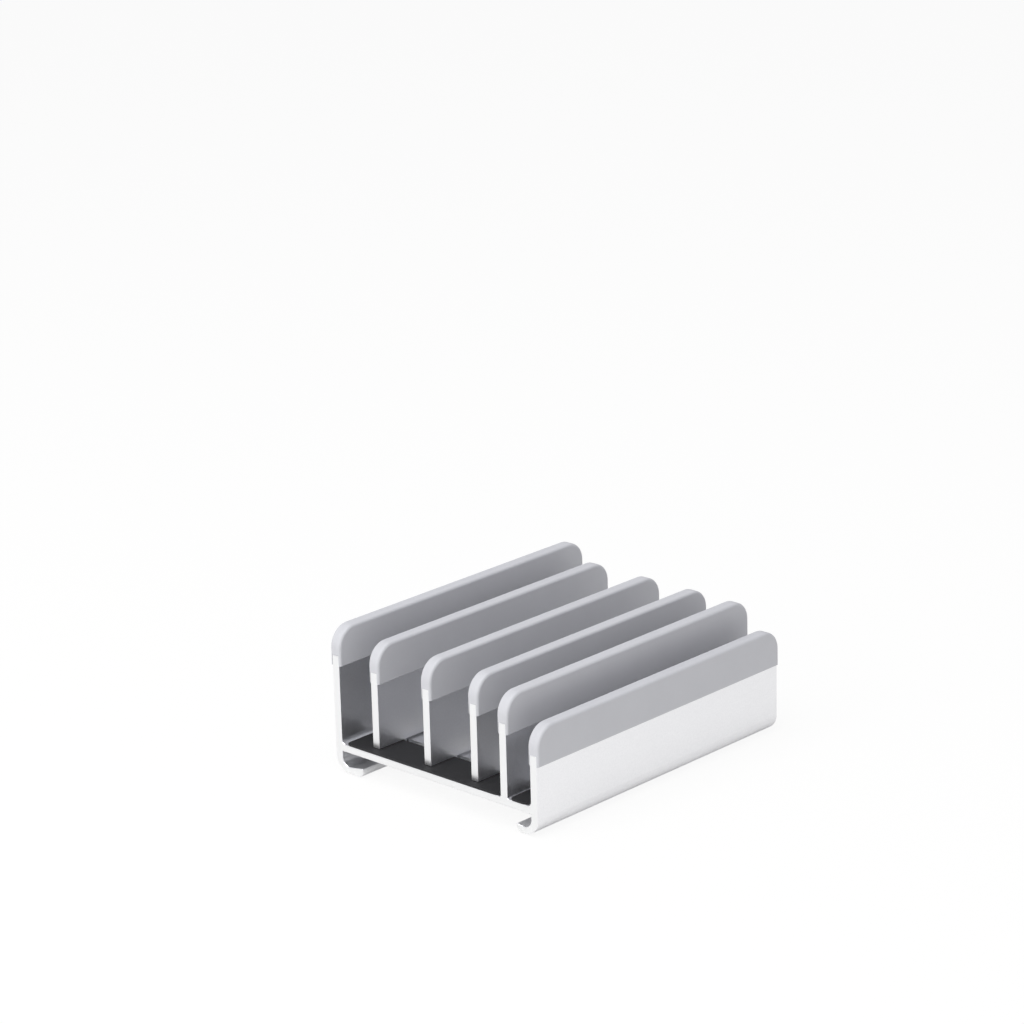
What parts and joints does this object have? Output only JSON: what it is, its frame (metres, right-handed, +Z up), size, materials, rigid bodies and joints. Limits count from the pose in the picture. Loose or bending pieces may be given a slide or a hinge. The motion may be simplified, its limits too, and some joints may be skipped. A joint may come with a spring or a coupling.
{
  "type": "desktop charging stand",
  "caption": "Extruded aluminium desktop stand that holds phones and tablets upright in open slots while they charge, with sliding dividers and silicone-capped plates.",
  "frame": {"origin": "middle of the rectangle that the stand covers, on the surface that its feet rest on", "axes": "+X along the stand from its left end to its right end, +Y from the low front wall to the tall back wall, +Z up"},
  "size_m": [0.165, 0.1272, 0.0697],
  "materials": {
    "aluminium": "fine sand-blasted silver anodising",
    "grey_silicone": "matte light grey silicone",
    "black_pad": "matte black silicone sheet",
    "steel": "zinc-plated steel"
  },
  "bodies": {
    "tray": {"extruded_tray": "aluminium", "front_wall_cap": "grey_silicone", "fixed_fin_cap": "grey_silicone", "back_wall_cap": "grey_silicone", "phone_pad_left": "black_pad", "phone_pad_right": "black_pad", "device_pad_left": "black_pad", "device_pad_right": "black_pad", "front_foot_strip": "grey_silicone", "back_foot_strip": "grey_silicone"},
    "front_divider_body": {"front_divider": "aluminium", "front_divider_cap": "grey_silicone", "front_divider_screws": "steel", "front_divider_washers": "steel"},
    "middle_divider_body": {"middle_divider": "aluminium", "middle_divider_cap": "grey_silicone", "middle_divider_screws": "steel", "middle_divider_washers": "steel"},
    "rear_divider_body": {"rear_divider": "aluminium", "rear_divider_cap": "grey_silicone", "rear_divider_screws": "steel", "rear_divider_washers": "steel"}
  },
  "joints": [
    {"name": "front_divider_slide", "type": "slide", "parent": "tray", "child": "front_divider_body", "axis": [0, 1, 0], "range_m": [-0.0147, 0.0111]},
    {"name": "middle_divider_slide", "type": "slide", "parent": "tray", "child": "middle_divider_body", "axis": [0, 1, 0], "range_m": [-0.0111, 0.01285]},
    {"name": "rear_divider_slide", "type": "slide", "parent": "tray", "child": "rear_divider_body", "axis": [0, 1, 0], "range_m": [-0.01285, 0.0132]}
  ]
}
